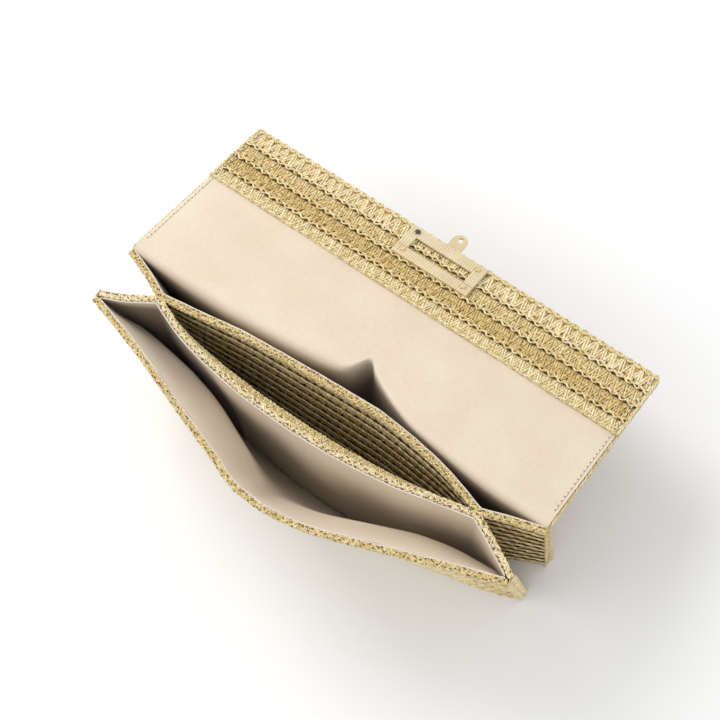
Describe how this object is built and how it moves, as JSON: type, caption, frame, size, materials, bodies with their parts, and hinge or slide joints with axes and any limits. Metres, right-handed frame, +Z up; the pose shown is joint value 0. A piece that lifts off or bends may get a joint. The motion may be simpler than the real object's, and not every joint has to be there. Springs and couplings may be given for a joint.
{
  "type": "clutch purse",
  "caption": "Slim straw clutch purse standing open: lined pouches joined back to back, a folding flap thrown back, and a metal frame clasp with a tongue and lock.",
  "frame": {"origin": "centre of the outline's box, on the table the purse stands on", "axes": "+X along the width, to the right when seen from the front; +Y to the back, where the opened flap lies; +Z up"},
  "size_m": [0.27, 0.1898, 0.112],
  "materials": {
    "back_panel_board": "stiff interlining, matt",
    "back_panel_lining": "pale beige brushed cotton, matt",
    "back_panel_straw": "plaited natural straw, matt with a soft sheen",
    "band_stitch": "twisted polyester thread",
    "clasp_frame": "satin pale gold plating",
    "clasp_outer_plate": "satin pale gold plating",
    "clasp_rivet_edge_left": "satin pale gold plating",
    "clasp_rivet_edge_right": "satin pale gold plating",
    "clasp_rivet_inner_left": "satin pale gold plating",
    "clasp_rivet_inner_right": "satin pale gold plating",
    "clasp_tongue": "satin pale gold plating",
    "divider_tack_left": "twisted polyester thread",
    "divider_tack_right": "twisted polyester thread",
    "flap_cover_board": "stiff interlining, matt",
    "flap_cover_lining": "pale beige brushed cotton, matt",
    "flap_cover_straw": "plaited natural straw, matt with a soft sheen",
    "flap_crease_roll": "plaited natural straw, matt with a soft sheen",
    "flap_facing_band": "plaited natural straw, matt with a soft sheen",
    "flap_fold_roll": "plaited natural straw, matt with a soft sheen",
    "flap_side_stitch_left": "twisted polyester thread",
    "flap_side_stitch_right": "twisted polyester thread",
    "flap_spine_board": "stiff interlining, matt",
    "flap_spine_lining": "pale beige brushed cotton, matt",
    "flap_spine_straw": "plaited natural straw, matt with a soft sheen",
    "front_divider_lining": "pale beige brushed cotton, matt",
    "front_divider_straw": "plaited natural straw, matt with a soft sheen",
    "front_panel_lining": "pale beige brushed cotton, matt",
    "front_panel_straw": "plaited natural straw, matt with a soft sheen",
    "front_pouch_bottom_seam": "plaited natural straw, matt with a soft sheen",
    "front_pouch_side_seam_left": "plaited natural straw, matt with a soft sheen",
    "front_pouch_side_seam_right": "plaited natural straw, matt with a soft sheen",
    "lock_backing_plate": "plain steel",
    "lock_base": "satin pale gold plating",
    "lock_face_plate": "satin pale gold plating",
    "lock_rivet_left": "satin pale gold plating",
    "lock_rivet_right": "satin pale gold plating",
    "lock_slider": "satin pale gold plating",
    "lock_spring": "plain steel",
    "rear_divider_lining": "pale beige brushed cotton, matt",
    "rear_divider_straw": "plaited natural straw, matt with a soft sheen",
    "rear_pouch_bottom_seam": "plaited natural straw, matt with a soft sheen",
    "rear_pouch_side_seam_left": "plaited natural straw, matt with a soft sheen",
    "rear_pouch_side_seam_right": "plaited natural straw, matt with a soft sheen",
    "tongue_rivet": "satin pale gold plating"
  },
  "bodies": {
    "pouches": {"back_panel_board": "back_panel_board", "back_panel_lining": "back_panel_lining", "back_panel_straw": "back_panel_straw", "divider_tack_left": "divider_tack_left", "divider_tack_right": "divider_tack_right", "flap_fold_roll": "flap_fold_roll", "front_divider_lining": "front_divider_lining", "front_divider_straw": "front_divider_straw", "front_panel_lining": "front_panel_lining", "front_panel_straw": "front_panel_straw", "front_pouch_bottom_seam": "front_pouch_bottom_seam", "front_pouch_side_seam_left": "front_pouch_side_seam_left", "front_pouch_side_seam_right": "front_pouch_side_seam_right", "rear_divider_lining": "rear_divider_lining", "rear_divider_straw": "rear_divider_straw", "rear_pouch_bottom_seam": "rear_pouch_bottom_seam", "rear_pouch_side_seam_left": "rear_pouch_side_seam_left", "rear_pouch_side_seam_right": "rear_pouch_side_seam_right"},
    "flap_spine": {"flap_crease_roll": "flap_crease_roll", "flap_spine_board": "flap_spine_board", "flap_spine_lining": "flap_spine_lining", "flap_spine_straw": "flap_spine_straw"},
    "flap_cover": {"band_stitch": "band_stitch", "clasp_frame": "clasp_frame", "clasp_outer_plate": "clasp_outer_plate", "clasp_rivet_edge_left": "clasp_rivet_edge_left", "clasp_rivet_edge_right": "clasp_rivet_edge_right", "clasp_rivet_inner_left": "clasp_rivet_inner_left", "clasp_rivet_inner_right": "clasp_rivet_inner_right", "clasp_tongue": "clasp_tongue", "flap_cover_board": "flap_cover_board", "flap_cover_lining": "flap_cover_lining", "flap_cover_straw": "flap_cover_straw", "flap_facing_band": "flap_facing_band", "flap_side_stitch_left": "flap_side_stitch_left", "flap_side_stitch_right": "flap_side_stitch_right", "tongue_rivet": "tongue_rivet"},
    "lock": {"lock_backing_plate": "lock_backing_plate", "lock_base": "lock_base", "lock_face_plate": "lock_face_plate", "lock_rivet_left": "lock_rivet_left", "lock_rivet_right": "lock_rivet_right", "lock_spring": "lock_spring"},
    "lock_slider": {"lock_slider": "lock_slider"}
  },
  "joints": [
    {"name": "flap_fold", "type": "hinge", "parent": "pouches", "child": "flap_spine", "pos_m": [0, -0.01493, 0.1099], "axis": [1, 0, 0], "range_deg": [0, 200.8]},
    {"name": "flap_crease", "type": "hinge", "parent": "flap_spine", "child": "flap_cover", "pos_m": [0, 0.01498, 0.09854], "axis": [1, 0, 0], "range_deg": [0, 91.5]},
    {"name": "pouch_press", "type": "slide", "parent": "pouches", "child": "lock", "axis": [0, 1, 0], "range_m": [0, 0.0415], "deforming": ["back_panel_board", "back_panel_lining", "back_panel_straw", "divider_tack_left", "divider_tack_right", "front_divider_lining", "front_divider_straw", "front_panel_lining", "front_panel_straw", "front_pouch_bottom_seam", "front_pouch_side_seam_left", "front_pouch_side_seam_right", "rear_divider_lining", "rear_divider_straw", "rear_pouch_bottom_seam", "rear_pouch_side_seam_left", "rear_pouch_side_seam_right"]},
    {"name": "lock_slide", "type": "slide", "parent": "lock", "child": "lock_slider", "axis": [0, 0.1775, -0.9841], "range_m": [0, 0.0015], "stiffness_N_per_m": 300, "springref_m": -0.001, "deforming": ["lock_spring"]}
  ],
  "couplings": [
    {"joint": "flap_crease", "follows": "flap_fold", "ratio": 0.45568},
    {"joint": "pouch_press", "follows": "flap_fold", "m_per_rad": 0.011841}
  ]
}
